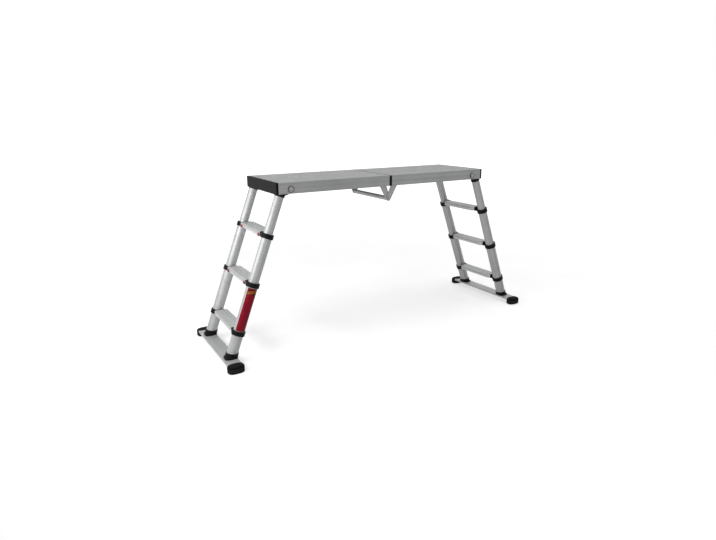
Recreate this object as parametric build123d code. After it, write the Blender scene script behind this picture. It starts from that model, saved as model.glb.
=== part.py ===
from build123d import *
import os
from math import cos, radians, sin, sqrt, tan

# Telescopic folding work platform. Millimetres, +Z up, X along the deck, -Y at the front.
# The origin lies on the floor under the middle of the deck.

# Deck
deck_length = 1200.0
deck_width = 365.0
deck_height = 800.0
deck_depth = 51.0
top_plate = 3.0
skirt_wall = 3.0
rib_wall = 3.0
rib_depth = 8.0
rib_count = 3
groove_pitch = 12.0
groove_width = 2.5
groove_depth = 0.8
groove_margin = 14.0
end_cap_length = 12.0
end_cap_wall = 3.0
end_cap_corner = 3.0
end_cap_tongue_length = 14.0
end_cap_tongue_width = 240.0
end_cap_tongue_thick = 3.0
seam_gap = 3.0
seam_cap_length = 7.5
seam_cap_gap = 0.6

# Middle hinge, whose axis lies below the skirts
hinge_drop = 115.0
hinge_block_thick = 13.0
arm_thick = 4.0
arm_layer_gap = 0.5
arm_inner_x = 12.0
arm_outer_x = 50.0
arm_top_margin = 7.0
arm_lap = 24.0
arm_eye_radius = 12.0
hinge_rod_radius = 5.0
hinge_rod_head_radius = 9.0
hinge_rod_head_thick = 3.0
hinge_tube_radius = 11.0
rivet_radius = 3.0
rivet_rows = 2
rivet_columns = 2
rivet_edge = 9.0

# Leg pivots in the skirts
pivot_inset = 70.0
pivot_drop = 31.0
pivot_pin_radius = 5.0
pivot_head_radius = 10.0
pivot_head_thick = 3.0
pivot_washer_radius = 15.0
pivot_washer_thick = 1.5
pivot_nut_radius = 9.0
pivot_nut_thick = 5.0

# Legs: stiles lean outwards from a point level with the skirts' lower edge
leg_inset = 26.6
splay = 20.8
stile_inset = 22.5
tube_wall = 1.5
bottom_tube_radius = 25.5
tube_gap = 0.75
tube_top = 6.0
tube_overlap = 92.0
tube_lift = 12.0
bush_flange = 10.0
bush_spigot = 15.0
bush_bore_radius = 15.0

# Leg brackets
bracket_thick = 8.0
bracket_eye_radius = 19.0
bracket_spigot_depth = 46.0
bracket_bolt_radius = 3.0
bracket_bolt_recess = 0.5
bracket_bolt_at = 30.0
top_ring_to = 12.0
top_ring_wall = 2.5

# Treads and collars
first_rung = 196.0
last_rung_rise = 117.85
rung_count = 3
collar_above = 13.0
collar_below = 8.0
collar_wall = 5.0
collar_lip = 3.0
collar_stack_gap = 0.75
tread_setback = 34.0
tread_inner = 43.0
tread_outer = 21.0
tread_top = 19.5
tread_thick = 22.0
tread_wall = 2.5
tread_corner = 3.5
tread_chamfer = 15.0
tread_groove_count = 5
tread_groove_width = 3.0
tread_groove_depth = 0.8
stub_length = 17.0
stub_inner_margin = 20.0
stub_width = 24.0
stub_height = 8.0

# Release buttons, each with its lock pin
pin_radius = 3.0
pin_rise = 4.5
button_travel = 8.0
button_length = 16.0
button_height = 12.0
button_thick = 5.0
button_edge = 1.5
button_start = 4.0
slider_length = 9.0
slider_height = 5.0
lock_hole_radius = 3.6

# Foot bar, sockets and feet
bar_width = 67.0
bar_overhang = 95.0
bar_bottom = 23.0
bar_axis_level = 16.0
bar_top = 33.0
bar_wall = 2.5
bar_edge_radius = 3.0
socket_depth = 20.0
socket_wall = 3.0
socket_plug = 20.0
socket_base_width = 58.0
socket_base_length = 52.0
socket_base_height = 8.0
socket_corner = 14.0
foot_width = 76.0
foot_height = 37.0
foot_length = 32.0
foot_wall = 16.0
foot_corner = 15.0
foot_edge_radius = 7.0
foot_sole_radius = 4.0

# Clearances
running_fit = 0.05
sliding_gap = 0.4
seat_gap = 0.3

# Least radius inside a hollow section's corners
least_corner = 0.5

# Places worked out from the sizes
half_length = deck_length / 2
half_width = deck_width / 2
skirt_bottom = deck_height - deck_depth
plate_bottom = deck_height - top_plate
skirt_inner = half_width - skirt_wall
arm_outer_y = skirt_inner - hinge_block_thick
stile_y = half_width - stile_inset
leg_x = half_length - leg_inset
mid_tube_radius = bottom_tube_radius - tube_wall - tube_gap
top_tube_radius = mid_tube_radius - tube_wall - tube_gap
hinge_z = deck_height - hinge_drop
pivot_x = half_length - pivot_inset
pivot_z = deck_height - pivot_drop
lean = radians(splay)
leg_length = (skirt_bottom - bar_top) / cos(lean)
socket_top = leg_length - socket_depth
tube_bottom = leg_length - tube_lift
rung_pitch = (leg_length - first_rung - last_rung_rise) / (rung_count - 1)
rungs = [first_rung + rung_pitch * step for step in range(rung_count)]
tube_end_above = collar_above - collar_lip
tread_end = stile_y - tread_setback
bar_length = 2 * (stile_y + bar_overhang)
foot_x = leg_x + (skirt_bottom - bar_axis_level) * tan(lean)
leg_frame = Location((leg_x, 0, skirt_bottom), (0, -splay, 0))
cut_margin = 1.0


def block(x0, x1, y0, y1, z0, z1):
    """Box between two corners."""
    return Pos((x0 + x1) / 2, (y0 + y1) / 2, (z0 + z1) / 2) * Box(x1 - x0, y1 - y0, z1 - z0)


def rod_y(x, z, radius, y0, y1):
    """Round bar along Y between two places."""
    return Pos(x, (y0 + y1) / 2, z) * Rot(X=90) * Cylinder(radius, abs(y1 - y0))


def stile_rod(radius, from_d, to_d):
    """Round bar along the back stile, placed by distances down from the skirts' lower edge."""
    middle = (from_d + to_d) / 2
    return leg_frame * Pos(0, stile_y, -middle) * Cylinder(radius, to_d - from_d)


def stile_point(d):
    """X and Z of the stile's axis at a distance down the leg."""
    return leg_x + d * sin(lean), skirt_bottom - d * cos(lean)


def plate_y(points, y0, y1):
    """Flat plate with an outline in XZ, between two places along Y."""
    outline = make_face(Polyline([(x, y0, z) for x, z in points], close=True))
    return extrude(outline, amount=y1 - y0, dir=(0, 1, 0))


def front_of(shape):
    return mirror(shape, about=Plane.XZ)


def on_side(side, shape):
    return shape if side == "right" else mirror(shape, about=Plane.YZ)


def save(node, *shapes):
    solids = [solid for shape in shapes for solid in shape.solids()]
    export_step(solids[0] if len(solids) == 1 else Compound(children=solids), f"parts/{node}.step")


def pivot_hole(radius, y0, y1):
    return rod_y(pivot_x, pivot_z, radius, y0, y1)


def rivet_places():
    """X and Z of the rivets that hold a hinge arm to its skirt."""
    left, right = arm_inner_x + rivet_edge, arm_outer_x - rivet_edge
    low, high = skirt_bottom + rivet_edge, deck_height - arm_top_margin - rivet_edge
    places = []
    for column in range(rivet_columns):
        for row in range(rivet_rows):
            x = left + (right - left) * column / (rivet_columns - 1)
            z = low + (high - low) * row / (rivet_rows - 1)
            places.append((x, z))
    return places


def deck_plank():
    """Channel with a grooved top, two skirts and ribs below the top."""
    outer_x = half_length - end_cap_length
    plank = block(seam_gap / 2, outer_x, -half_width, half_width, plate_bottom, deck_height)
    for y0, y1 in ((-half_width, -skirt_inner), (skirt_inner, half_width)):
        plank += block(seam_cap_length, outer_x, y0, y1, skirt_bottom, deck_height)
    rib_step = deck_width / (rib_count + 1)
    for rib in range(rib_count):
        y = -half_width + rib_step * (rib + 1)
        plank += block(arm_outer_x, outer_x - end_cap_tongue_length, y - rib_wall / 2, y + rib_wall / 2,
                       plate_bottom - rib_depth, plate_bottom)
    groove_count = int((deck_width - 2 * groove_margin) / groove_pitch) + 1
    first_groove = -groove_pitch * (groove_count - 1) / 2
    for groove in range(groove_count):
        y = first_groove + groove_pitch * groove
        plank -= block(0, half_length, y - groove_width / 2, y + groove_width / 2,
                       deck_height - groove_depth, deck_height + cut_margin)
    reach = half_width + cut_margin
    plank -= pivot_hole(pivot_pin_radius + running_fit, -reach, reach)
    for x, z in rivet_places():
        plank -= rod_y(x, z, rivet_radius, -reach, reach)
    return plank


def end_cap():
    """Moulded cap over the deck's outer end, open below, with a tongue under the top plate."""
    inner_x = half_length - end_cap_length
    cap = block(inner_x, half_length, -half_width, half_width, skirt_bottom, deck_height)
    corners = cap.edges().filter_by(Axis.Z).group_by(Axis.X)[-1]
    cap = fillet(corners, end_cap_corner)
    cap -= block(inner_x - cut_margin, half_length - end_cap_wall, -half_width + end_cap_wall,
                 half_width - end_cap_wall, skirt_bottom - cut_margin, plate_bottom)
    cap += block(inner_x - end_cap_tongue_length, half_length - end_cap_wall, -end_cap_tongue_width / 2,
                 end_cap_tongue_width / 2, plate_bottom - end_cap_tongue_thick, plate_bottom)
    return cap


def seam_cap():
    """Plate that closes the deck's inner end and butts against its twin."""
    return block(seam_cap_gap / 2, seam_cap_length, -half_width, half_width, skirt_bottom, plate_bottom)


def arm_outline(top):
    """Outline of a hinge arm from the skirt down to the hinge's eye."""
    return [(arm_inner_x, top), (arm_outer_x, top), (arm_outer_x, skirt_bottom),
            (arm_eye_radius * cos(lean), hinge_z - arm_eye_radius * sin(lean)),
            (-arm_eye_radius * cos(lean), hinge_z + arm_eye_radius * sin(lean)),
            (arm_inner_x, skirt_bottom)]


def hinge_block():
    """Packing block between the back skirt and its hinge arm."""
    top = deck_height - arm_top_margin
    piece = block(arm_inner_x, arm_outer_x, arm_outer_y, skirt_inner, skirt_bottom, top)
    for x, z in rivet_places():
        piece -= rod_y(x, z, rivet_radius, 0, half_width)
    return piece


def hinge_arm(joggled):
    """Arm on the packing block behind the back skirt. The joggled one steps inwards below the skirt."""
    outer_y = arm_outer_y
    inner_y = outer_y - arm_thick
    top = deck_height - arm_top_margin
    if joggled:
        step = arm_thick + arm_layer_gap
        fold_y = inner_y - arm_layer_gap
        upper = block(arm_inner_x, arm_outer_x, fold_y, outer_y, skirt_bottom, top)
        lower = plate_y(arm_outline(skirt_bottom + arm_lap), inner_y - step, fold_y)
        lower += rod_y(0, hinge_z, arm_eye_radius, inner_y - step, fold_y)
        arm = upper + lower
        hole = hinge_rod_radius
    else:
        arm = plate_y(arm_outline(top), inner_y, outer_y)
        arm += rod_y(0, hinge_z, arm_eye_radius, inner_y, outer_y)
        hole = hinge_rod_radius + running_fit
    arm -= rod_y(0, hinge_z, hole, 0, half_width)
    for x, z in rivet_places():
        arm -= rod_y(x, z, rivet_radius, 0, half_width)
    return arm


def arm_rivets(joggled):
    """Flush rivets through the back skirt, the packing block and the hinge arm."""
    inner_y = arm_outer_y - arm_thick - (arm_layer_gap if joggled else 0)
    return [rod_y(x, z, rivet_radius, inner_y, half_width) for x, z in rivet_places()]


def hinge_tube():
    """Spacer tube between the inner hinge arms."""
    end = arm_outer_y - 2 * arm_thick - arm_layer_gap
    return rod_y(0, hinge_z, hinge_tube_radius, -end, end) - rod_y(0, hinge_z, hinge_rod_radius, -end, end)


def hinge_rod():
    """Rod through the spacer tube and all four arms, with a flat head at each end."""
    head_start = arm_outer_y + seat_gap
    head_end = head_start + hinge_rod_head_thick
    rod = rod_y(0, hinge_z, hinge_rod_radius, -head_start, head_start)
    rod += rod_y(0, hinge_z, hinge_rod_head_radius, head_start, head_end)
    rod += rod_y(0, hinge_z, hinge_rod_head_radius, -head_end, -head_start)
    return rod


bracket_outer_y = skirt_inner - pivot_washer_thick - seat_gap
bracket_inner_y = bracket_outer_y - bracket_thick
bracket_head_radius = top_tube_radius - tube_wall - running_fit
bracket_low_z = skirt_bottom - bracket_head_radius * tan(lean)


def pivot_pin():
    """Headed pin through the back skirt that carries a leg bracket."""
    head_start = half_width + pivot_washer_thick
    nut_end = bracket_inner_y - seat_gap
    pin = pivot_hole(pivot_pin_radius, nut_end, head_start)
    pin += pivot_hole(pivot_head_radius, head_start, head_start + pivot_head_thick)
    pin += pivot_hole(pivot_nut_radius, nut_end - pivot_nut_thick, nut_end)
    return pin


def pivot_washers():
    """Washers outside and inside the back skirt."""
    washers = []
    for start in (half_width, skirt_inner - pivot_washer_thick):
        end = start + pivot_washer_thick
        ring = pivot_hole(pivot_washer_radius, start, end)
        washers.append(ring - pivot_hole(pivot_pin_radius + running_fit, start, end))
    return washers


def leg_bracket():
    """Head that fills the stile's top, with an ear on the pivot. Its flat top stops the leg."""
    head = stile_rod(bracket_head_radius, -deck_depth * 2, bracket_spigot_depth)
    head -= block(0, deck_length, 0, deck_width, plate_bottom - seat_gap, 2 * deck_height)
    x, z = stile_point(0)
    ear_half = bracket_head_radius / cos(lean)
    top_x = x - (plate_bottom - seat_gap - z) * tan(lean)
    ear = plate_y([(pivot_x, pivot_z + bracket_eye_radius), (top_x, plate_bottom - seat_gap),
                   (x + ear_half - tube_top, z), (x - bracket_head_radius * cos(lean), bracket_low_z),
                   (pivot_x, pivot_z - bracket_eye_radius)], bracket_inner_y, bracket_outer_y)
    ear += pivot_hole(bracket_eye_radius, bracket_inner_y, bracket_outer_y)
    bracket = head + ear
    bracket -= block(0, deck_length, bracket_outer_y, deck_width, skirt_bottom - deck_depth, deck_height)
    bracket -= pivot_hole(pivot_pin_radius + running_fit, 0, half_width)
    bx, bz = stile_point(bracket_bolt_at)
    bracket -= rod_y(bx, bz, bracket_bolt_radius, 0, deck_width)
    return bracket


def bracket_bolt():
    """Sunk cross bolt that holds the top tube on its bracket."""
    bx, bz = stile_point(bracket_bolt_at)
    reach = top_tube_radius - bracket_bolt_recess
    return rod_y(bx, bz, bracket_bolt_radius, stile_y - reach, stile_y + reach)


def tube(radius, from_d, to_d):
    """Thin round tube along the back stile."""
    return stile_rod(radius, from_d, to_d) - stile_rod(radius - tube_wall, from_d, to_d)


def pin_place(rung):
    """X and Z of the lock pin's axis at a rung."""
    return stile_point(rungs[rung] - pin_rise / cos(lean))


def lock_hole(rung, radius):
    """Hole for a lock pin through the side of a tube that faces the tread."""
    x, z = pin_place(rung)
    return rod_y(x, z, radius, tread_end, stile_y)


def top_tube():
    bolt_x, bolt_z = stile_point(bracket_bolt_at)
    piece = tube(top_tube_radius, tube_top, rungs[0] + tube_overlap)
    piece -= rod_y(bolt_x, bolt_z, bracket_bolt_radius, 0, deck_width)
    return piece - lock_hole(0, lock_hole_radius)


def mid_tube():
    piece = tube(mid_tube_radius, rungs[0] - tube_end_above, rungs[1] + tube_overlap)
    return piece - lock_hole(0, lock_hole_radius) - lock_hole(1, lock_hole_radius)


def bottom_tube():
    piece = tube(bottom_tube_radius, rungs[1] - tube_end_above, tube_bottom)
    return piece - lock_hole(1, lock_hole_radius)


def top_ring():
    """Trim ring round the stile, cut level just below the skirt and notched for the bracket's ear."""
    ring = stile_rod(top_tube_radius + top_ring_wall, -top_tube_radius, top_ring_to)
    ring -= stile_rod(top_tube_radius, -deck_depth, top_ring_to)
    ring -= block(0, deck_length, 0, deck_width, skirt_bottom - seat_gap, deck_height)
    return ring - block(0, leg_x, bracket_inner_y - seat_gap, deck_width,
                        bracket_low_z - seat_gap, deck_height)


def tube_bush(inner_radius, end_d):
    """Guide bush in the lower end of a sliding tube, running inside the next tube."""
    flange_radius = inner_radius + tube_gap - running_fit
    bore = inner_radius - tube_wall
    bush = stile_rod(flange_radius, end_d, end_d + bush_flange)
    bush += stile_rod(bore, end_d - bush_spigot, end_d)
    return bush - stile_rod(bush_bore_radius, end_d - bush_spigot, end_d + bush_flange)


def tread_box(rung, inner, inset, y0, y1):
    """Level section of a tread from its inner edge outwards, drawn in by an inset."""
    x, z = stile_point(rungs[rung])
    top = z + tread_top
    return block(x - inner + inset, x + tread_outer - inset, y0, y1, top - tread_thick + inset, top - inset)


def rounded_tread(rung, inset, reach):
    """Tread's body with its inner corners cut off and its long edges rounded."""
    body = tread_box(rung, tread_inner, inset, -reach, reach)
    cut = tread_chamfer + reach - tread_end + inset * (sqrt(2) - 1)
    body = chamfer(body.edges().filter_by(Axis.Z).group_by(Axis.X)[0], cut)
    return fillet(body.edges().filter_by(Axis.Y), max(tread_corner - inset, least_corner))


def slider_span():
    """Start and end along Y of the part of a button that passes through the tread's wall."""
    start = tread_end - button_start - button_length
    middle = start + button_length / 2
    return middle - slider_length / 2, middle + slider_length / 2


def tread(rung, with_buttons):
    """Hollow step with grooves on top and, where it has buttons, a slot at each end."""
    step = rounded_tread(rung, 0, tread_end) - rounded_tread(rung, tread_wall, tread_end + cut_margin)
    x, z = stile_point(rungs[rung])
    groove_step = (tread_inner + tread_outer) / (tread_groove_count + 1)
    top = z + tread_top
    for groove in range(tread_groove_count):
        middle = x - tread_inner + groove_step * (groove + 1)
        step -= block(middle - tread_groove_width / 2, middle + tread_groove_width / 2, -stile_y, stile_y,
                      top - tread_groove_depth, top + cut_margin)
    if with_buttons:
        near, far = slider_span()
        pin_z = pin_place(rung)[1]
        slot = block(x + tread_outer - tread_wall - cut_margin, x + tread_outer + cut_margin,
                     near - button_travel - sliding_gap, far + sliding_gap,
                     pin_z - slider_height / 2 - sliding_gap, pin_z + slider_height / 2 + sliding_gap)
        step -= slot
        step -= front_of(slot)
    return step


def collar(rung, outer_tube_radius, inner_tube_radius):
    """Moulded collar on the back stile: a ring, a neck as high as the ring, a plate that ends the tread
    and stays clear of the collar above when the leg is short, and a stub inside the tread.
    Where a thinner tube slides through, a lip covers the outer tube's end and guides the inner one."""
    d = rungs[rung]
    top, bottom = d - collar_above, d + collar_below
    x, z = stile_point(d)
    piece = stile_rod(outer_tube_radius + collar_wall, top, bottom)
    band = leg_frame * Pos(0, stile_y, -(top + bottom) / 2) * Box(deck_width, deck_width, bottom - top)
    inner = tread_inner - tread_chamfer
    piece += tread_box(rung, inner, 0, tread_end, stile_y) & band
    plate_end = stile_y - mid_tube_radius - collar_wall - collar_stack_gap
    piece += tread_box(rung, inner, 0, tread_end, plate_end)
    stub_x = x - tread_inner + stub_inner_margin
    stub_z = z + tread_top - tread_wall - sliding_gap
    piece += block(stub_x, stub_x + stub_width, tread_end - stub_length, tread_end,
                   stub_z - stub_height, stub_z)
    reach = 2 * (collar_above + collar_below)
    if inner_tube_radius:
        piece -= stile_rod(inner_tube_radius + running_fit, d - reach, d)
        piece -= stile_rod(outer_tube_radius, d - tube_end_above, d + reach)
        pin_x, pin_z = pin_place(rung)
        piece -= rod_y(pin_x, pin_z, pin_radius + running_fit, tread_end - stub_length, stile_y)
    else:
        piece -= stile_rod(outer_tube_radius, d - reach, d + reach)
    return piece


def button(rung, inner_tube_radius):
    """Thumb button on the tread's outer face, joined through the slot to the lock pin.
    The pin's tip stops just short of the inner tube, in line with its hole."""
    pin_x, pin_z = pin_place(rung)
    face = stile_point(rungs[rung])[0] + tread_outer
    near, far = slider_span()
    start = tread_end - button_start - button_length
    tip = stile_y - inner_tube_radius - seat_gap
    pad = block(face + seat_gap, face + seat_gap + button_thick, start, start + button_length,
                pin_z - button_height / 2, pin_z + button_height / 2)
    pad = fillet(pad.edges().group_by(Axis.X)[-1], button_edge)
    slide = block(pin_x, face + seat_gap, near, far, pin_z - slider_height / 2, pin_z + slider_height / 2)
    return pad + slide + rod_y(pin_x, pin_z, pin_radius, near, tip)


def bar_box(inset, y0, y1):
    """Rounded section of the foot bar, drawn in by an inset."""
    half = bar_width / 2 - inset
    box = block(foot_x - half, foot_x + half, y0, y1, bar_bottom + inset, bar_top - inset)
    return fillet(box.edges().filter_by(Axis.Y), max(bar_edge_radius - inset, least_corner))


def foot_bar():
    half = bar_length / 2
    return bar_box(0, -half, half) - bar_box(bar_wall, -half - cut_margin, half + cut_margin)


def bar_socket():
    """Moulded socket that seats the back stile on the foot bar, with a plug inside the tube."""
    seat_x = stile_point(leg_length)[0]
    socket = stile_rod(bottom_tube_radius + socket_wall, socket_top, deck_height + deck_depth)
    base = block(seat_x - socket_base_width / 2, seat_x + socket_base_width / 2,
                 stile_y - socket_base_length / 2, stile_y + socket_base_length / 2,
                 bar_top, bar_top + socket_base_height)
    socket += fillet(base.edges().filter_by(Axis.Z), socket_corner)
    socket -= block(0, deck_length, 0, deck_width, -deck_height, bar_top)
    socket -= stile_rod(bottom_tube_radius, socket_top - cut_margin, tube_bottom)
    plug_radius = bottom_tube_radius - tube_wall - running_fit
    return socket + stile_rod(plug_radius, tube_bottom - socket_plug, tube_bottom + cut_margin)


def rubber_foot():
    """Rubber cap over the back end of the foot bar."""
    end = bar_length / 2 + foot_wall
    half = foot_width / 2
    foot = block(foot_x - half, foot_x + half, end - foot_length, end, 0, foot_height)
    foot = fillet(foot.edges().filter_by(Axis.Z), foot_corner)
    foot = fillet(foot.edges().group_by(Axis.Z)[-1], foot_edge_radius)
    foot = fillet(foot.edges().group_by(Axis.Z)[0], foot_sole_radius)
    return foot - bar_box(0, 0, bar_length / 2)


def pair(shape):
    return shape, front_of(shape)


def save_deck(side):
    joggled = side == "left"
    save(f"{side}_deck_plank", on_side(side, deck_plank()))
    save(f"{side}_end_cap", on_side(side, end_cap()))
    save(f"{side}_seam_cap", on_side(side, seam_cap()))
    save(f"{side}_hinge_arms", *(on_side(side, piece) for piece in pair(hinge_arm(joggled))))
    save(f"{side}_hinge_blocks", *(on_side(side, piece) for piece in pair(hinge_block())))
    rivets = [piece for rivet in arm_rivets(joggled) for piece in pair(rivet)]
    save(f"{side}_arm_rivets", *(on_side(side, piece) for piece in rivets))
    save(f"{side}_pivot_pins", *(on_side(side, piece) for piece in pair(pivot_pin())))
    washers = [piece for washer in pivot_washers() for piece in pair(washer)]
    save(f"{side}_pivot_washers", *(on_side(side, piece) for piece in washers))


def save_leg(side):
    pairs = {
        "leg_brackets": leg_bracket(),
        "bracket_bolts": bracket_bolt(),
        "top_tubes": top_tube(),
        "top_rings": top_ring(),
        "top_tube_bushes": tube_bush(top_tube_radius, rungs[0] + tube_overlap),
        "mid_tubes": mid_tube(),
        "mid_tube_bushes": tube_bush(mid_tube_radius, rungs[1] + tube_overlap),
        "upper_collars": collar(0, mid_tube_radius, top_tube_radius),
        "bottom_tubes": bottom_tube(),
        "middle_collars": collar(1, bottom_tube_radius, mid_tube_radius),
        "lower_collars": collar(2, bottom_tube_radius, None),
        "bar_sockets": bar_socket(),
        "rubber_feet": rubber_foot(),
    }
    for name, shape in pairs.items():
        save(f"{side}_{name}", *(on_side(side, piece) for piece in pair(shape)))
    for rung, name in enumerate(("upper", "middle", "lower")):
        save(f"{side}_{name}_tread", on_side(side, tread(rung, name != "lower")))
    save(f"{side}_foot_bar", on_side(side, foot_bar()))
    for rung, name, inner_radius in ((0, "upper", top_tube_radius), (1, "middle", mid_tube_radius)):
        back, front = pair(button(rung, inner_radius))
        save(f"{side}_{name}_button_back", on_side(side, back))
        save(f"{side}_{name}_button_front", on_side(side, front))


os.makedirs("parts", exist_ok=True)
for side in ("left", "right"):
    save_deck(side)
    save_leg(side)
save("hinge_tube", hinge_tube())
save("hinge_rod", hinge_rod())
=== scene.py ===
import math
import bmesh
import bpy
from mathutils import Matrix, Vector


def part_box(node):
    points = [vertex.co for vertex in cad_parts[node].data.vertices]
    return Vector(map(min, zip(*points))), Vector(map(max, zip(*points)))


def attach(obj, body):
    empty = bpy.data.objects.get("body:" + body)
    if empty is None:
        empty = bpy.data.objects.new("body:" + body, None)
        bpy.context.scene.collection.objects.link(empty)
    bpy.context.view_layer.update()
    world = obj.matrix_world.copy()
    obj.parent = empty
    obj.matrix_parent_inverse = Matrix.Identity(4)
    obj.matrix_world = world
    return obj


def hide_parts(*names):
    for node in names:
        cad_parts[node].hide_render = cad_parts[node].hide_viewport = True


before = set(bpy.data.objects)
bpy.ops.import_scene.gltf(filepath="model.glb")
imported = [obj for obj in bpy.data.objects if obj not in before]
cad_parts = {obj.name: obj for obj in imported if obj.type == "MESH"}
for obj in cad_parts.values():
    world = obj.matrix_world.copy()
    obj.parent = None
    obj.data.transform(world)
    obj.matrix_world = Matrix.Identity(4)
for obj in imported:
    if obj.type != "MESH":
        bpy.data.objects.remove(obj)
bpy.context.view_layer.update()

# the leg's line, as in the part's source, in metres
lean = math.radians(20.8)
stile = {
    "topX": 0.5734,       # axis of a stile, level with the skirts' lower edge
    "topZ": 0.749,
    "sideY": 0.160,
    "sine": math.sin(lean),
    "cosine": math.cos(lean),
    "slope": math.tan(lean),
    "lowRadius": 0.0255,
}


def stileLines(x, z):
    # distance down the stile from its top, and out from its axis; alike on both legs
    out, down = abs(x) - stile["topX"], stile["topZ"] - z
    along = out * stile["sine"] + down * stile["cosine"]
    across = out * stile["cosine"] - down * stile["sine"]
    return along, across


# what all finishes share
commonLook = {
    "spread": (0.3, 0.7),       # where most of a noise lies
    "edgeSamples": 4,
    "edgeTurn": (0.01, 0.22),   # how far the normal of a rounded edge turns from the flat one
    "dustSlope": (0.3, 0.95),   # Z of the normals on which dust settles
}


class Wire:
    # a socket that can be used in sums; every operator adds a Math node
    def __init__(self, finish, socket):
        self.finish = finish
        self.socket = socket

    def sums(self, operation, first, second=0.0):
        return self.finish.node("ShaderNodeMath", {"operation": operation}, {0: first, 1: second})

    def other(self, name):
        return Wire(self.finish, self.socket.node.outputs[name])

    def __add__(self, value):
        return self.sums("ADD", self, value)

    def __radd__(self, value):
        return self.sums("ADD", value, self)

    def __sub__(self, value):
        return self.sums("SUBTRACT", self, value)

    def __rsub__(self, value):
        return self.sums("SUBTRACT", value, self)

    def __mul__(self, value):
        return self.sums("MULTIPLY", self, value)

    def __rmul__(self, value):
        return self.sums("MULTIPLY", value, self)

    def __truediv__(self, value):
        return self.sums("DIVIDE", self, value)

    def __rtruediv__(self, value):
        return self.sums("DIVIDE", value, self)

    def __pow__(self, value):
        return self.sums("POWER", self, value)

    def __rpow__(self, value):
        return self.sums("POWER", value, self)

    def __gt__(self, value):
        return self.sums("GREATER_THAN", self, value)

    def __lt__(self, value):
        return self.sums("LESS_THAN", self, value)

    def __abs__(self):
        return self.sums("ABSOLUTE", self)

    def least(self, value):
        return self.sums("MINIMUM", self, value)

    def bearing(self, ahead):
        # angle whose tangent is this over ahead
        return self.sums("ARCTAN2", self, ahead)

    def beside(self, pitch):
        # distance to the nearest of marks that lie a pitch apart
        return self.sums("PINGPONG", self, pitch / 2)

    def wave(self, pitch):
        # 0 on those marks, 1 half way between them
        return self.beside(pitch) / (pitch / 2)

    def swing(self, amount):
        # a noise about its middle
        return (self - 0.5) * amount

    def rise(self, low, high):
        # 0 below low, 1 above high, smooth between them; low above high turns it round
        return self.finish.node("ShaderNodeMapRange", {"interpolation_type": "SMOOTHSTEP"},
                                {"Value": self, "From Min": low, "From Max": high})


class Finish:
    # the node tree of a material or of the room
    def __init__(self, owner):
        owner.use_nodes = True
        self.owner = owner
        self.tree = owner.node_tree
        self.tree.nodes.clear()

    def node(self, kind, settings=None, sockets=None, out=0):
        made = self.tree.nodes.new(kind)
        for key, value in (settings or {}).items():
            setattr(made, key, value)
        for key, value in (sockets or {}).items():
            if isinstance(value, Wire):
                self.tree.links.new(value.socket, made.inputs[key])
            else:
                made.inputs[key].default_value = value
        return Wire(self, made.outputs[out]) if len(made.outputs) else None

    def split(self, vector):
        x = self.node("ShaderNodeSeparateXYZ", None, {0: vector})
        return x, x.other("Y"), x.other("Z")

    def place(self):
        # the shared frame's X, Y and Z in metres, at rest
        return self.split(self.node("ShaderNodeTexCoord", out="Object"))

    def facing(self):
        return self.split(self.node("ShaderNodeNewGeometry", out="Normal"))

    def point(self, x, y, z):
        return self.node("ShaderNodeCombineXYZ", None, {0: x, 1: y, 2: z})

    def noise(self, where, grain, seed=0.0):
        # grain is scale, detail and roughness
        scale, detail, roughness = grain
        return self.node("ShaderNodeTexNoise", {"noise_dimensions": "4D"},
                         {"Vector": where, "W": seed, "Scale": scale, "Detail": detail,
                          "Roughness": roughness})

    def streaks(self, place, lines, grain, seed=0.0):
        # noise drawn out along a direction that has few lines to the metre
        return self.noise(self.point(*(part * count for part, count in zip(place, lines))),
                          grain, seed)

    def blend(self, factor, first, second):
        return self.node("ShaderNodeMix", {"data_type": "RGBA"},
                         {0: factor, 6: first, 7: second}, out=2)

    def bump(self, height, relief, under=None):
        # relief is strength and distance
        strength, distance = relief
        sockets = {"Height": height, "Strength": strength, "Distance": distance}
        if under:
            sockets["Normal"] = under
        return self.node("ShaderNodeBump", None, sockets)

    def soft(self, radius):
        # normal with its edges rounded off, and a mask of those edges
        rounded = self.node("ShaderNodeBevel", {"samples": commonLook["edgeSamples"]},
                            {"Radius": radius})
        flat = self.node("ShaderNodeNewGeometry", out="Normal")
        turn = self.node("ShaderNodeVectorMath", {"operation": "DOT_PRODUCT"},
                         {0: rounded, 1: flat}, out="Value")
        return rounded, (1 - turn).rise(*commonLook["edgeTurn"])

    def upward(self):
        # 1 on faces that look up, where dust settles
        return self.facing()[2].rise(*commonLook["dustSlope"])

    def seen(self):
        # 1 for what the camera sees, straight or through a mirror or glass
        path = self.node("ShaderNodeLightPath", out="Is Camera Ray")
        return (path + path.other("Is Glossy Ray") + path.other("Is Transmission Ray")) > 0.5

    def shade(self, sockets):
        body = self.node("ShaderNodeBsdfPrincipled", None, sockets)
        self.node("ShaderNodeOutputMaterial", None, {"Surface": body})
        return self.owner


def newFinish(name):
    return Finish(bpy.data.materials.new(name))


def grey(level, warm=0.0):
    return (level * (1 + warm), level, level * (1 - warm), 1)


# In the dictionaries below a noise is scale, detail and roughness, and lines are counts to the
# metre in three directions. A pair for rise says where a mask starts and where it is full.

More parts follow.
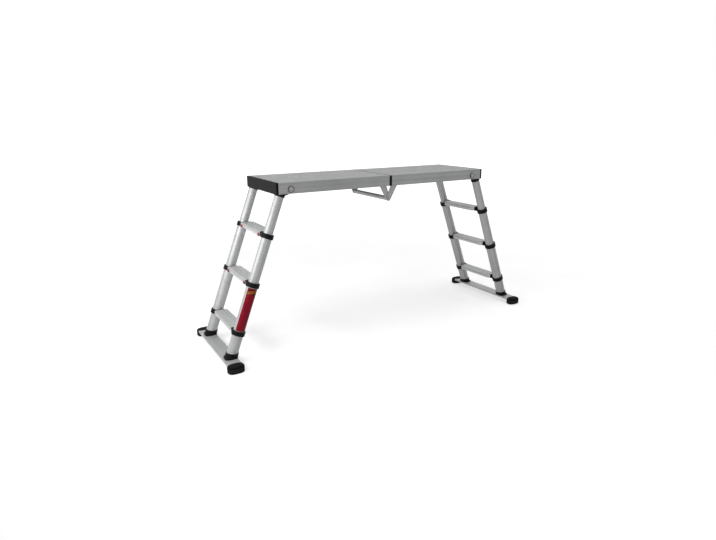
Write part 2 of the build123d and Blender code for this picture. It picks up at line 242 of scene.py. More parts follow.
# aluminium sections: die lines, clouded anodising, scuffs, dust in grooves, edges rubbed bright
sectionLook = {
    "fineLines": (1.6, 1100, 1100),
    "fine": (1.0, 2.0, 0.6),
    "broadLines": (0.8, 120, 120),
    "broad": (1.0, 2.0, 0.5),
    "cloud": (9.0, 4.0, 0.55),
    "smear": (26.0, 5.0, 0.65),
    "toneShares": (0.28, 0.50, 0.22),   # of the fine lines, the broad lines and the clouds
    "tone": (0.34, 0.66),
    "scuff": (1.0, 1.0, 0.5),
    "longSlant": 0.35,
    "longLines": (16, 520, 520),
    "long": (0.66, 0.72),
    "longShare": 0.55,
    "shortSlant": 0.8,
    "shortLines": (420, 14, 90),
    "short": (0.68, 0.74),
    "shortShare": 0.4,
    "scuffed": (0.46, 0.62),            # clouds in which scuffs show
    "scuffShare": 0.5,
    "edge": 0.0009,
    "rubbed": (0.40, 0.62),
    "rubShare": 0.55,
    "dusted": (0.56, 0.74),
    "dustShare": 0.22,
    "grooveShares": (0.35, 0.4),        # least share, and what smears add to it
    "lineShares": (0.6, 0.4),
    "roughShares": (0.22, 0.18, 0.12),  # of the fine lines, the smears and the rubbed edges
    "reliefShares": (0.6, 0.5, 0.5),    # of the fine lines, the broad lines and the scuffs
    "relief": (0.35, 0.00012),
}


def aluminium(look, along, across, level, seed, groove=None, line=None, paintedLightShift=0.0):
    marks, finish = sectionLook, along.finish
    place = (along, across, level)
    where = finish.point(*place)
    fine = finish.streaks(place, marks["fineLines"], marks["fine"], seed)
    broad = finish.streaks(place, marks["broadLines"], marks["broad"], seed + 1)
    cloud = finish.noise(where, marks["cloud"], seed + 2)
    smear = finish.noise(where, marks["smear"], seed + 3)
    ofFine, ofBroad, ofCloud = marks["toneShares"]
    # the last term adds painted light and shade to the tone, for the tubes
    tone = (fine * ofFine + broad * ofBroad + cloud * ofCloud).rise(*marks["tone"]) + paintedLightShift
    # long scuffs run a little askew to the section, short ones across it
    slant = marks["longSlant"]
    long = finish.streaks((along + across * slant, across - along * slant, level),
                          marks["longLines"], marks["scuff"], seed + 4)
    slant = marks["shortSlant"]
    short = finish.streaks((along - across * slant, across + along * slant, level),
                           marks["shortLines"], marks["scuff"], seed + 5)
    scuff = (long.rise(*marks["long"]) * marks["longShare"]
             + short.rise(*marks["short"]) * marks["shortShare"]) * cloud.rise(*marks["scuffed"])
    rounded, edge = finish.soft(marks["edge"])
    rub = edge * smear.rise(*marks["rubbed"])
    colour = finish.blend(tone, look["dark"], look["pale"])
    colour = finish.blend(smear.rise(*marks["dusted"]) * marks["dustShare"], colour, look["dust"])
    if groove:
        least, more = marks["grooveShares"]
        colour = finish.blend(groove * (least + more * smear), colour, look["dust"])
    colour = finish.blend(scuff * marks["scuffShare"] + rub * marks["rubShare"],
                          colour, look["worn"])
    if line:
        least, more = marks["lineShares"]
        colour = finish.blend(line * (least + more * smear), colour, look["line"])
    ofFine, ofSmear, ofRub = marks["roughShares"]
    rough = look["rough"] + fine.swing(ofFine) + smear.swing(ofSmear) - rub * ofRub
    ofFine, ofBroad, ofScuff = marks["reliefShares"]
    normal = finish.bump(fine * ofFine + broad * ofBroad - scuff * ofScuff,
                         marks["relief"], rounded)
    return finish.shade({"Base Color": colour, "Roughness": rough, "Metallic": look["metallic"],
                         "Normal": normal})


deckLook = {
    "dark": grey(0.258, -0.012),
    "pale": grey(0.370, -0.012),
    "dust": grey(0.185, 0.02),
    "worn": grey(0.58),
    "line": grey(0.03),
    "metallic": 0.32,
    "rough": 0.44,
    "rightSeed": 4.7,
    "groovePitch": 0.012,           # with a groove on the middle line
    "groove": (0.0019, 0.0012),
    "grooveLevel": 0.7985,
    "seam": (0.0078, 0.0058),       # darker band on the top beside the seam between the halves
    "seamLevel": 0.7975,
}


def deckAluminium(look):
    finish = newFinish("deckAluminium")
    x, y, z = finish.place()
    groove = y.beside(look["groovePitch"]).rise(*look["groove"]) * (z > look["grooveLevel"])
    seam = abs(x).rise(*look["seam"]) * (z > look["seamLevel"])
    return aluminium(look, x, y, z, (x > 0) * look["rightSeed"], groove, seam)


tubeLook = {
    "dark": grey(0.30, -0.01),
    "pale": grey(0.49, -0.01),
    "dust": grey(0.24, 0.02),
    "worn": grey(0.62),
    "metallic": 0.28,
    "rough": 0.48,
    "rightSeed": 7.3,
    "rearSeed": 5.9,
    "rearPaintedLight": 0.26,      # painted light and shade: the rear tubes painted paler against the shade under the deck, the right ones darker against the right strip lamp
    "rightPaintedShade": 0.14,
}


def tubeAluminium(look):
    finish = newFinish("tubeAluminium")
    x, y, z = finish.place()
    along, across = stileLines(x, z)
    right, rear = x > 0, y > 0
    seed = right * look["rightSeed"] + rear * look["rearSeed"]
    # painted light and shade: the rear tubes lighter, the right tubes darker
    paintedLightShift = rear * look["rearPaintedLight"] - right * look["rightPaintedShade"]
    return aluminium(look, along, across, y, seed, paintedLightShift=paintedLightShift)


treadLook = {
    "dark": grey(0.43, -0.008),
    "pale": grey(0.61, -0.008),
    "dust": grey(0.27, 0.0),
    "worn": grey(0.70),
    "line": grey(0.10, 0.02),
    "metallic": 0.28,
    "rough": 0.46,
    "rightSeed": 5.3,
    "topRise": 0.0195,              # tread's top above the stile's axis
    "inner": 0.043,                 # tread's inner face from that axis
    "square": 0.9,                  # how squarely a face looks up or in
    "groovePitch": 0.0106667,
    "groove": (0.0024, 0.0015),
    "grooveFirst": (0.005, 0.007),  # from the inner face
    "grooveLast": (0.059, 0.057),
    "linePlace": 0.0085,            # dark line painted on the inner face, below the top
    "lineHalf": (0.0018, 0.0009),
    "outer": (0.060, 0.062),        # outer face, out of the way of shoes, with its darker skin
    "outerSquare": 0.6,
    "outerShare": 1.1,
}


def treadAluminium(look):
    finish = newFinish("treadAluminium")
    x, y, z = finish.place()
    facing = finish.facing()
    inner, top = stile["topX"] - look["inner"], stile["topZ"] + look["topRise"]
    # distance from the inner face, right on the top; depth below the top, right on the inner face
    inward = abs(x) - inner - (top - z) * stile["slope"]
    depth = top - (abs(x) - inner) / stile["slope"] - z
    between = inward.rise(*look["grooveFirst"]) * inward.rise(*look["grooveLast"])
    groove = inward.beside(look["groovePitch"]).rise(*look["groove"]) * between
    groove = groove * (facing[2] > look["square"])
    # a dark line painted along the inner face, a little below the top
    line = abs(depth - look["linePlace"]).rise(*look["lineHalf"])
    line = line * (abs(facing[0]) > look["square"])
    outer = inward.rise(*look["outer"]) * (abs(facing[0]) > look["outerSquare"])
    return aluminium(look, y, x, z, (x > 0) * look["rightSeed"] + z,
                     groove + outer * look["outerShare"], line)


barLook = {
    "dark": grey(0.38, -0.008),
    "pale": grey(0.50, -0.008),
    "dust": grey(0.26, 0.04),
    "worn": grey(0.64),
    "metallic": 0.28,
    "rough": 0.45,
    "rightSeed": 2.9,
}


def barAluminium(look):
    finish = newFinish("barAluminium")
    x, y, z = finish.place()
    return aluminium(look, y, x, z, (x > 0) * look["rightSeed"])


armLook = {
    "dark": grey(0.34, -0.01),
    "pale": grey(0.45, -0.01),
    "dust": grey(0.24, 0.03),
    "worn": grey(0.60),
    "metallic": 0.32,
    "rough": 0.44,
    "rightSeed": 1.7,
    "rearSeed": 2.3,
}


def armAluminium(look):
    finish = newFinish("armAluminium")
    x, y, z = finish.place()
    return aluminium(look, z, x, y, (x > 0) * look["rightSeed"] + (y > 0) * look["rearSeed"])


# moulded plastics: eroded mould skin, slight clouding, whitened edges, scratches, dust on top
skinLook = {
    "grain": (1500.0, 2.0, 0.6),
    "clouds": (34.0, 4.0, 0.6),
    "specks": (150.0, 5.0, 0.7),
    "scratchLines": (640, 60, 420),
    "scratch": (1.0, 1.0, 0.5),
    "scratched": (0.69, 0.74),
    "scratchedClouds": (0.45, 0.6),
    "edge": 0.0012,
    "rubbed": (0.36, 0.62),
    "rubShare": 0.4,
    "settled": (0.42, 0.7),
    "dustShare": 0.3,
    "scratchShare": 0.3,
    "roughShares": (0.2, 0.2, 0.1),     # of the clouds, the dust and the rubbed edges
    "grainShare": 0.8,
    "relief": (0.4, 0.0001),
}

mouldedLook = {
    "black": grey(0.004),
    "cloud": grey(0.008),
    "dust": grey(0.04, 0.03),
    "edge": grey(0.04),
    "rough": 0.56,
    "specular": 0.08,
}

guideLook = {
    "black": grey(0.07, -0.02),
    "cloud": grey(0.10, -0.02),
    "dust": grey(0.18, 0.03),
    "edge": grey(0.2),
    "rough": 0.36,
    "specular": 0.45,
}


def mouldedPlastic(name, look):
    skin, finish = skinLook, newFinish(name)
    x, y, z = finish.place()
    where = finish.point(x, y, z)
    grain = finish.noise(where, skin["grain"])
    cloud = finish.noise(where, skin["clouds"])
    speck = finish.noise(where, skin["specks"])
    scratch = finish.streaks((x + z, y - x, z - y), skin["scratchLines"], skin["scratch"])
    scratch = scratch.rise(*skin["scratched"]) * cloud.rise(*skin["scratchedClouds"])
    rounded, edge = finish.soft(skin["edge"])
    rub = edge * speck.rise(*skin["rubbed"])
    settled = finish.upward() * speck.rise(*skin["settled"])
    colour = finish.blend(cloud.rise(*commonLook["spread"]), look["black"], look["cloud"])
    colour = finish.blend(settled * skin["dustShare"] + scratch * skin["scratchShare"],
                          colour, look["dust"])
    colour = finish.blend(rub * skin["rubShare"], colour, look["edge"])
    ofCloud, ofDust, ofRub = skin["roughShares"]
    rough = look["rough"] + cloud.swing(ofCloud) + settled * ofDust - rub * ofRub
    normal = finish.bump(grain * skin["grainShare"] - scratch, skin["relief"], rounded)
    return finish.shade({"Base Color": colour, "Roughness": rough, "Normal": normal,
                         "Specular IOR Level": look["specular"]})


rubberLook = {
    "black": grey(0.003),
    "cloud": grey(0.006),
    "dust": grey(0.045, 0.06),
    # dust in the grip grooves, lightened as a painted highlight
    "grooveDustAndHighlight": grey(0.085, 0.03),
    "rough": 0.72,
    "specular": 0.05,
    "grain": (900.0, 3.0, 0.65),
    "clouds": (40.0, 4.0, 0.6),
    "grit": (260.0, 5.0, 0.7),
    "edge": 0.0015,
    "rubbed": (0.45, 0.7),
    "scuffHeight": 0.009,
    "scuffed": (0.38, 0.66),
    "settled": (0.4, 0.7),
    "dustShares": (0.6, 0.45, 0.3),     # of the scuffed sole, the top and the edges
    "roughShares": (0.2, 0.12),         # of the clouds and the scuffed sole
    "relief": (0.4, 0.00015),
    "grooves": (0.0130, 0.0215),        # heights of the grip grooves
    "grooveWide": 0.0032,
    "grooveFade": (0.6, 0.2),           # dust and painted highlight along a groove, in widths from its middle
    "grooveShares": (0.4, 0.6),         # least share, and what grit adds to it
}


def footRubber(look):
    finish = newFinish("footRubber")
    x, y, z = finish.place()
    where = finish.point(x, y, z)
    grain = finish.noise(where, look["grain"])
    cloud = finish.noise(where, look["clouds"])
    grit = finish.noise(where, look["grit"])
    rounded, edge = finish.soft(look["edge"])
    # lighter lines along the grip grooves: dust packed in them, and a painted highlight
    fade = [look["grooveWide"] * share for share in look["grooveFade"]]
    lowGroove, highGroove = (abs(z - height).rise(*fade) for height in look["grooves"])
    least, more = look["grooveShares"]
    dustAndHighlight = (lowGroove + highGroove) * (least + more * grit)
    scuffed = z.rise(look["scuffHeight"], 0.0) * grit.rise(*look["scuffed"])
    settled = finish.upward() * grit.rise(*look["settled"])
    ofSole, ofTop, ofEdge = look["dustShares"]
    dust = scuffed * ofSole + settled * ofTop + edge * grit.rise(*look["rubbed"]) * ofEdge
    colour = finish.blend(cloud.rise(*commonLook["spread"]), look["black"], look["cloud"])
    colour = finish.blend(dust, colour, look["dust"])
    colour = finish.blend(dustAndHighlight, colour, look["grooveDustAndHighlight"])
    ofCloud, ofSole = look["roughShares"]
    rough = look["rough"] + cloud.swing(ofCloud) + scuffed * ofSole
    normal = finish.bump(grain, look["relief"], rounded)
    return finish.shade({"Base Color": colour, "Roughness": rough, "Normal": normal,
                         "Specular IOR Level": look["specular"]})


buttonLook = {
    "deep": (0.26, 0.016, 0.024, 1),
    "bright": (0.40, 0.028, 0.038, 1),
    "worn": (0.52, 0.14, 0.14, 1),
    "rough": 0.34,
    "roughCloud": 0.2,
    "specular": 0.45,
    "clouds": (120.0, 4.0, 0.6),
    "grain": (1800.0, 2.0, 0.5),
    "edge": 0.0009,
    "rubbed": (0.4, 0.62),
    "rubShare": 0.5,
    "ribPitch": 0.0026,         # thumb ribs across the push
    "rib": (0.3, 0.7),
    "ribShade": 0.3,
    "ribRelief": (0.7, 0.0005),
    "relief": (0.25, 0.00008),
}


def buttonRed(look):
    finish = newFinish("buttonRed")
    x, y, z = finish.place()
    where = finish.point(x, y, z)
    cloud = finish.noise(where, look["clouds"])
    grain = finish.noise(where, look["grain"])
    rounded, edge = finish.soft(look["edge"])
    ribs = y.wave(look["ribPitch"]).rise(*look["rib"])
    colour = finish.blend(cloud.rise(*commonLook["spread"]), look["deep"], look["bright"])
    colour = finish.blend(edge * cloud.rise(*look["rubbed"]) * look["rubShare"],
                          colour, look["worn"])
    colour = finish.blend((1 - ribs) * look["ribShade"], colour, look["deep"])
    normal = finish.bump(grain, look["relief"], finish.bump(ribs, look["ribRelief"], rounded))
    return finish.shade({"Base Color": colour, "Normal": normal,
                         "Roughness": look["rough"] + cloud.swing(look["roughCloud"]),
                         "Specular IOR Level": look["specular"]})


steelLook = {
    "dark": grey(0.22, 0.01),
    "pale": grey(0.36, 0.015),
    "tarnish": (0.20, 0.185, 0.155, 1),
    "bright": grey(0.5),
    "rim": grey(0.02),              # painted shade: a dark ring round a washer's edge
    "metallic": 0.55,
    "rough": 0.36,
    "roughCloud": 0.25,
    "clouds": (160.0, 4.0, 0.6),
    "specks": (700.0, 3.0, 0.6),
    "ringPitch": 0.0009,
    "ringWobble": 0.0006,
    "toneShares": (0.6, 0.4),       # of the clouds and the rings
    "tone": (0.25, 0.75),
    "tarnished": (0.58, 0.7),
    "tarnishShare": 0.35,
    "edge": 0.0008,
    "edgeShare": 0.3,
    "rimFade": (-0.0008, 0.0004),
    "relief": (0.3, 0.0001),
    "pivotAxis": (0.530, 0.769),    # X and Z
    "hingeAxis": (0.0, 0.685),
    "washerRim": 0.0125,
}


def platedSteel(name, look, axis, rim=None):
    # turned faces: fine rings about the piece's own axis along Y
    finish = newFinish(name)
    x, y, z = finish.place()
    where = finish.point(x, y, z)
    aside, drop = abs(x) - axis[0], z - axis[1]
    radius = (aside * aside + drop * drop) ** 0.5
    cloud = finish.noise(where, look["clouds"])
    speck = finish.noise(where, look["specks"])
    rings = (radius + cloud.swing(look["ringWobble"])).wave(look["ringPitch"])
    rounded, edge = finish.soft(look["edge"])
    ofCloud, ofRings = look["toneShares"]
    tone = (cloud * ofCloud + rings * ofRings).rise(*look["tone"])
    colour = finish.blend(tone, look["dark"], look["pale"])
    colour = finish.blend(speck.rise(*look["tarnished"]) * look["tarnishShare"],
                          colour, look["tarnish"])
    colour = finish.blend(edge * look["edgeShare"], colour, look["bright"])
    if rim:
        # painted shade: the washer's outer edge darkened, as shade falls in the gap round it
        paintedShadeRing = radius.rise(*(rim + step for step in look["rimFade"]))
        colour = finish.blend(paintedShadeRing, colour, look["rim"])
    return finish.shade({"Base Color": colour, "Metallic": look["metallic"],
                         "Normal": finish.bump(rings, look["relief"], rounded),
                         "Roughness": look["rough"] + cloud.swing(look["roughCloud"])})


finishes = {
    "deck": deckAluminium(deckLook),
    "tube": tubeAluminium(tubeLook),
    "tread": treadAluminium(treadLook),
    "bar": barAluminium(barLook),
    "arm": armAluminium(armLook),
    "moulded": mouldedPlastic("mouldedBlack", mouldedLook),
    "guide": mouldedPlastic("guidePlastic", guideLook),
    "rubber": footRubber(rubberLook),
    "button": buttonRed(buttonLook),
    "pivotSteel": platedSteel("pivotSteel", steelLook, steelLook["pivotAxis"]),
    "pivotWasher": platedSteel("pivotWasher", steelLook, steelLook["pivotAxis"],
                               steelLook["washerRim"]),
    "hingeSteel": platedSteel("hingeSteel", steelLook, steelLook["hingeAxis"]),
}
print("finishes:", len(finishes))

# which finish goes on which node, by the last words of the node's name
nodeFinish = {
    "deck_plank": "deck",
    "end_cap": "moulded",
    "seam_cap": "moulded",
    "hinge_arms": "arm",
    "hinge_blocks": "arm",
    "arm_rivets": "arm",
    "pivot_pins": "pivotSteel",
    "pivot_washers": "pivotWasher",
    "leg_brackets": "moulded",
    "bracket_bolts": "pivotSteel",
    "top_tubes": "tube",
    "mid_tubes": "tube",
    "bottom_tubes": "tube",
    "top_rings": "moulded",
    "bushes": "guide",
    "collars": "moulded",
    "tread": "tread",
    "button_front": "button",
    "button_back": "button",
    "foot_bar": "bar",
    "bar_sockets": "moulded",
    "rubber_feet": "rubber",
    "hinge_tube": "arm",
    "hinge_rod": "hingeSteel",
}


def dress(node):
    found = next(name for ending, name in nodeFinish.items() if node.name.endswith(ending))
    for slot in node.material_slots:
        slot.material = finishes[found]


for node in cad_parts.values():
    dress(node)
print("nodes dressed:", len(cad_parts))


def addObject(name, data):
    made = bpy.data.objects.new(name, data)
    bpy.context.scene.collection.objects.link(made)
    return made


def addMesh(name, mesh):
    data = bpy.data.meshes.new(name)
    mesh.to_mesh(data)
    mesh.free()
    return addObject(name, data)


# plain film round the front of the left leg's lowest tube, between its two collars
labelLook = {
    "from": 0.4325,                 # along the stile
    "to": 0.6335,
    "halfTurn": math.radians(54),
    "midTurn": math.radians(7),     # middle of the film, from the front towards the outer side
    "corner": 0.004,
    "lift": 0.00003,                # off the tube
    "thick": 0.00022,
    "rows": 44,
    "columns": 28,
    "leastSmooth": 1e-7,            # area of the smallest face that is shaded smooth
    "red": (0.19, 0.002, 0.011, 1),
    "redPale": (0.25, 0.004, 0.017, 1),
    "patch": (0.30, 0.085, 0.012, 1),
    "patchDeep": (0.10, 0.005, 0.005, 1),
    "backing": grey(0.62),
    "rough": 0.46,
    "roughShares": (0.2, 0.3),      # of the clouds and the chipped edge
    "coat": 0.08,
    "specular": 0.06,
    "clouds": (45.0, 4.0, 0.6),
    "speckles": (420.0, 4.0, 0.6),
    "speckled": (0.62, 0.72),
    "speckleShare": 0.05,
    "nicks": (330.0, 3.0, 0.6),
    "nickDepth": 0.0026,
    "chipped": (0.0007, 0.0002),
    "chipShare": 0.8,
    "patchStart": (0.0035, 0.0045),     # below the film's upper end
    "patchEnd": (0.032, 0.030),
    "patchWide": 0.80,              # of the film's half width
    "patchEdge": (0.0, 0.001),
    "bandPlace": 0.018,             # slanting band across the patch
    "bandLong": 0.012,
    "bandSlant": 0.8,
    "bandCloud": 0.2,
    "band": (0.66, 0.52),
    "creaseLines": (60, 26, 1),
    "creases": (1.0, 3.0, 0.5),
    "relief": (0.25, 0.0003),
}


def labelPoint(down, turn, radius):
    sine, cosine = stile["sine"], stile["cosine"]
    axis = Vector((-stile["topX"] - down * sine, -stile["sideY"], stile["topZ"] - down * cosine))
    front, outer = Vector((0, -1, 0)), Vector((-cosine, 0, sine))
    return axis + radius * (math.cos(turn) * front + math.sin(turn) * outer)


def labelRows(look):
    # rows close up at both ends, where the corners are rounded
    span = look["to"] - look["from"]
    for row in range(look["rows"] + 1):
        share = 0.5 - 0.5 * math.cos(math.pi * row / look["rows"])
        inset = max(0.0, look["corner"] - min(share, 1 - share) * span)
        trim = look["corner"] - math.sqrt(look["corner"] ** 2 - inset ** 2)
        yield look["from"] + share * span, look["halfTurn"] - trim / stile["lowRadius"]


def makeLabel(look):
    mesh = bmesh.new()
    layers, rims = [], []
    under = stile["lowRadius"] + look["lift"]
    for radius in (under + look["thick"], under):
        layer = []
        for down, half in labelRows(look):
            turns = [look["midTurn"] + half * (2 * column / look["columns"] - 1)
                     for column in range(look["columns"] + 1)]
            layer.append([mesh.verts.new(labelPoint(down, turn, radius)) for turn in turns])
        layers.append(layer)
    for layer in layers:
        for upper, lower in zip(layer, layer[1:]):
            for column in range(look["columns"]):
                mesh.faces.new((upper[column], upper[column + 1],
                                lower[column + 1], lower[column]))
        left, right = [row[0] for row in layer], [row[-1] for row in layer]
        rims.append(layer[0][:-1] + right[:-1] + layer[-1][:0:-1] + left[:0:-1])
    for index in range(len(rims[0])):
        after = (index + 1) % len(rims[0])
        mesh.faces.new((rims[0][index], rims[0][after], rims[1][after], rims[1][index]))
    bmesh.ops.recalc_face_normals(mesh, faces=mesh.faces)
    for face in mesh.faces:
        face.smooth = face.calc_area() > look["leastSmooth"]
    return addMesh("stileLabel", mesh)


def labelFilm(look):
    finish = newFinish("labelFilm")
    x, y, z = finish.place()
    along, across = stileLines(x, z)
    # flat distances from the film's middle line and from its upper end
    side = (across.bearing(-stile["sideY"] - y) - look["midTurn"]) * stile["lowRadius"]
    below = along - look["from"]
    width = look["halfTurn"] * stile["lowRadius"]
    where = finish.point(along, side, 0.0)
    speckle = finish.noise(where, look["speckles"])
    cloud = finish.noise(where, look["clouds"])
    nick = finish.noise(where, look["nicks"])
    # distance to the nearest edge of the film
    margin = (width - abs(side)).least(below.least(look["to"] - along))
    chipped = (margin + nick.swing(look["nickDepth"])).rise(*look["chipped"])
    block = below.rise(*look["patchStart"]) * below.rise(*look["patchEnd"])
    block = block * (width * look["patchWide"] - abs(side)).rise(*look["patchEdge"])
    band = abs((below - look["bandPlace"]) / look["bandLong"]
               - (side / width) * look["bandSlant"] + cloud.swing(look["bandCloud"]))
    red = finish.blend(cloud.rise(*commonLook["spread"]), look["red"], look["redPale"])
    patch = finish.blend(band.rise(*look["band"]), look["patchDeep"], look["patch"])
    colour = finish.blend(block, red, patch)
    colour = finish.blend(speckle.rise(*look["speckled"]) * look["speckleShare"],
                          colour, look["backing"])
    colour = finish.blend(chipped * look["chipShare"], colour, look["backing"])
    crease = finish.streaks((along, side, 0.0), look["creaseLines"], look["creases"])
    ofCloud, ofChips = look["roughShares"]
    rough = look["rough"] + cloud.swing(ofCloud) + chipped * ofChips
    return finish.shade({"Base Color": colour, "Roughness": rough,
                         "Coat Weight": look["coat"] - chipped * look["coat"],
                         "Specular IOR Level": look["specular"],
                         "Normal": finish.bump(crease, look["relief"])})


label = makeLabel(labelLook)
label.data.materials.append(labelFilm(labelLook))
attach(label, "left_leg_bottom")
print("label:", len(label.data.polygons), "faces")

# feet: oval rubber pucks over the bars' ends, rounder than the plain solids
feetLook = {
    "long": 0.050,              # along the bar
    "fullness": 2.7,            # of the outline, where 2 is an ellipse
    "points": 72,
    "arcSteps": 6,
    "soleRadius": 0.0075,
    "topRadius": 0.012,
    "grooves": rubberLook["grooves"],
    "grooveWide": rubberLook["grooveWide"],
    "grooveDeep": 0.0013,
    "grooveShape": ((0, -0.5), (1, -0.2), (1, 0.2), (0, 0.5)),  # in depths and widths
    "pocketGap": 0.0001,
    "pocketCorner": 0.003,
    "sharp": math.radians(35),
}


def footProfile(look, height):
    # inset from the outline and height, from the sole's edge up to the top's
    sole, top = look["soleRadius"], look["topRadius"]
    turns = [math.pi / 2 * step / look["arcSteps"] for step in range(look["arcSteps"] + 1)]
    for turn in turns:
        yield sole * (1 - math.sin(turn)), sole * (1 - math.cos(turn))
    for middle in look["grooves"]:
        for inset, rise in look["grooveShape"]:
            yield inset * look["grooveDeep"], middle + rise * look["grooveWide"]
    for turn in turns:
        yield top * (1 - math.cos(turn)), height - top * (1 - math.sin(turn))


def footRing(look, middle, half, inset, z):
    for step in range(look["points"]):
        turn = 2 * math.pi * step / look["points"]
        x, y = (math.copysign(abs(part) ** (2 / look["fullness"]), part)
                for part in (math.cos(turn), math.sin(turn)))
        yield middle + Vector(((half.x - inset) * x, (half.y - inset) * y, z))


def barRing(look, low, high, y):
    # the bar's rounded section, a touch larger all round
    corner = look["pocketCorner"]
    reach = corner + look["pocketGap"]
    left, right, under, over = low.x + corner, high.x - corner, low.z + corner, high.z - corner
    corners = ((right, over), (left, over), (left, under), (right, under))
    for quarter, (x, z) in enumerate(corners):
        for step in range(look["arcSteps"] + 1):
            turn = math.pi / 2 * (quarter + step / look["arcSteps"])
            yield Vector((x + reach * math.cos(turn), y, z + reach * math.sin(turn)))


def closeRings(mesh, rings):
    # skin from ring to ring, and a flat face at both ends
    rings = [[mesh.verts.new(place) for place in ring] for ring in rings]
    for lower, upper in zip(rings, rings[1:]):
        for index in range(len(lower)):
            after = (index + 1) % len(lower)
            mesh.faces.new((lower[index], lower[after], upper[after], upper[index]))
    mesh.faces.new(rings[0][::-1])
    mesh.faces.new(rings[-1])


def makeFeet(name, look, node, bar):
    low, high = (Vector(corner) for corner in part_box(node))
    barLow, barHigh = (Vector(corner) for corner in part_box(bar))
    half = Vector(((high.x - low.x) / 2, look["long"] / 2, 0))
    pucks, bars = bmesh.new(), bmesh.new()
    for y in (low.y + half.y, high.y - half.y):
        middle = Vector(((low.x + high.x) / 2, y, low.z))
        closeRings(pucks, [footRing(look, middle, half, inset, z)
                           for inset, z in footProfile(look, high.z - low.z)])
    closeRings(bars, [barRing(look, barLow, barHigh, y) for y in (barLow.y, barHigh.y)])
    for mesh in (pucks, bars):
        bmesh.ops.recalc_face_normals(mesh, faces=mesh.faces)
    feet, cutter = addMesh(name, pucks), addMesh("barCutter", bars)
    # the bar's ends sit in pockets of the feet
    pocket = feet.modifiers.new("pocket", "BOOLEAN")
    pocket.operation, pocket.solver, pocket.object = "DIFFERENCE", "EXACT", cutter
    cut = feet.evaluated_get(bpy.context.evaluated_depsgraph_get())
    shaped = bpy.data.meshes.new_from_object(cut)
    feet.modifiers.clear()
    feet.data = shaped
    bpy.data.objects.remove(cutter)
    shaped.shade_smooth()
    shaped.set_sharp_from_angle(angle=look["sharp"])
    shaped.materials.clear()
    shaped.materials.append(finishes["rubber"])
    return feet


for side in ("left", "right"):
    feet = makeFeet(side + "Feet", feetLook, side + "_rubber_feet", side + "_foot_bar")
    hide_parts(side + "_rubber_feet")
    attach(feet, side + "_leg_bottom")
    print(side, "feet:", len(feet.data.polygons), "faces")

# sockets: as the solids, but with the upper edge drawn up on the inner side, nearly level
socketLook = {
    "lift": 0.011,          # on the inner side
    "reach": 0.0285,        # radius of the moulding round the tube
    "near": 0.0003,         # slack for telling the moulding from its plug, and its top rim
}


def makeSockets(name, look, node):
    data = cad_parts[node].data.copy()
    data.name = name
    shell = []      # what lies outside the tube, without the plug in it
    for vertex in data.vertices:
        along, across = stileLines(vertex.co.x, vertex.co.z)
        radius = math.hypot(across, abs(vertex.co.y) - stile["sideY"])
        if radius > stile["lowRadius"] - look["near"]:
            shell.append((along, across, vertex))
    top = min(along for along, across, vertex in shell)
    for along, across, vertex in shell:
        if along < top + look["near"]:
            lift = look["lift"] * (look["reach"] - across) / (2 * look["reach"])
            inward = math.copysign(stile["sine"], -vertex.co.x)
            vertex.co += lift * Vector((inward, 0, stile["cosine"]))
    return addObject(name, data)


for side in ("left", "right"):
    sockets = makeSockets(side + "Sockets", socketLook, side + "_bar_sockets")
    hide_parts(side + "_bar_sockets")
    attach(sockets, side + "_leg_bottom")
    print(side, "sockets:", len(sockets.data.polygons), "faces")

# floor, light and camera
floorLook = {
    "size": 60.0,
    "cells": 8,
    "drop": 0.0006,
    "colour": grey(0.78),
    "mottle": grey(0.74),
    "mottles": (3.0, 4.0, 0.6),
    "glowNear": grey(0.525),    # added to what the camera and mirrors see,
    "glowFar": grey(1.0),       # so that the open floor is white
    "glowRadius": (1.0, 5.0),
}


def makeFloor(look):
    mesh = bmesh.new()
    bmesh.ops.create_grid(mesh, x_segments=look["cells"], y_segments=look["cells"],
                          size=look["size"] / 2)
    floor = addMesh("studioFloor", mesh)
    floor.location.z = -look["drop"]
    finish = newFinish("studioFloor")
    x, y, z = finish.place()
    mottle = finish.noise(finish.point(x, y, z), look["mottles"])
    colour = finish.blend(mottle.rise(*commonLook["spread"]), look["mottle"], look["colour"])
    radius = (x * x + y * y) ** 0.5
    glow = finish.blend(radius.rise(*look["glowRadius"]), look["glowNear"], look["glowFar"])
    paint = {"Base Color": colour, "Roughness": 1.0, "Specular IOR Level": 0.0}
    matt = finish.node("ShaderNodeBsdfPrincipled", None, paint)
    lit = finish.node("ShaderNodeBsdfPrincipled", None,
                      {**paint, "Emission Color": glow, "Emission Strength": 1.0})
    shown = finish.node("ShaderNodeMixShader", None, {0: finish.seen(), 1: matt, 2: lit})
    finish.node("ShaderNodeOutputMaterial", None, {"Surface": shown})
    floor.data.materials.append(finish.owner)


roomLook = {
    "ambient": 0.34,
    "white": 1.0,
}


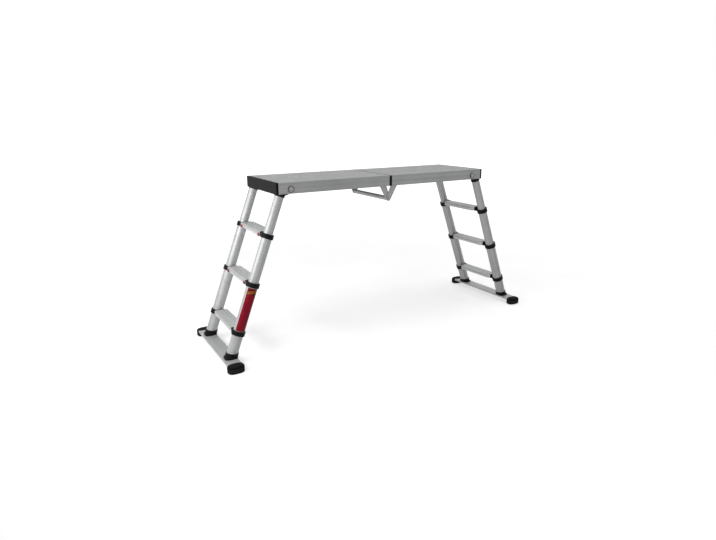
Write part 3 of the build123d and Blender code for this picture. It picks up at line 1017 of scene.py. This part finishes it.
def makeRoom(look):
    world = bpy.data.worlds.new("studioRoom")
    bpy.context.scene.world = world
    finish = Finish(world)
    dim, white = (finish.node("ShaderNodeBackground", None,
                              {"Color": grey(1.0), "Strength": look[level]})
                  for level in ("ambient", "white"))
    shown = finish.node("ShaderNodeMixShader", None, {0: finish.seen(), 1: dim, 2: white})
    finish.node("ShaderNodeOutputWorld", None, {"Surface": shown})


lampLook = {
    "leftBox": {
        "at": (-1.70, -0.30, 0.90),
        "to": (-0.62, -0.10, 0.78),
        "size": (1.2, 0.5),
        "watts": 14.3,
    },
    "rightStrip": {
        "at": (0.70, -0.85, 0.80),
        "to": (0.52, -0.18, 0.785),
        "size": (0.3, 0.1),
        "watts": 0.28,
    },
    "topBox": {
        "at": (0.1, -0.3, 3.2),
        "to": (0.0, 0.0, 0.8),
        "size": (3.4, 2.4),
        "watts": 36,
    },
}


def makeLamp(name, look):
    data = bpy.data.lights.new(name, "AREA")
    data.shape = "RECTANGLE"
    data.size, data.size_y = look["size"]
    data.energy = look["watts"]
    lamp = addObject(name, data)
    lamp.location = look["at"]
    aim = Vector(look["to"]) - Vector(look["at"])
    lamp.rotation_euler = aim.to_track_quat("-Z", "Y").to_euler()
    lamp.visible_camera = False


cameraLook = {
    "at": (-1.47133, -2.30573, 1.06320),
    "turn": math.radians(31.134),     # to the right of straight ahead
    "tilt": math.radians(-16.057),
    "roll": math.radians(-0.211),
    "focal": 524.449,                 # in pixels of the picture
    "wide": 716,
    "sensor": 36,
    "clip": (0.05, 200),
}


def makeCamera(look):
    data = bpy.data.cameras.new("photoCamera")
    data.sensor_width = look["sensor"]
    data.lens = look["sensor"] * look["focal"] / look["wide"]
    data.clip_start, data.clip_end = look["clip"]
    camera = addObject("photoCamera", data)
    camera.location = look["at"]
    turn = Matrix.Rotation(-look["turn"], 3, "Z")
    tilt = Matrix.Rotation(math.pi / 2 + look["tilt"], 3, "X")
    roll = Matrix.Rotation(look["roll"], 3, "Z")
    camera.rotation_euler = (turn @ tilt @ roll).to_euler()
    bpy.context.scene.camera = camera


makeFloor(floorLook)
makeRoom(roomLook)
for name, look in lampLook.items():
    makeLamp(name, look)
makeCamera(cameraLook)
bpy.context.scene.view_settings.view_transform = "Standard"
print("studio: floor, room,", len(lampLook), "lamps and camera")
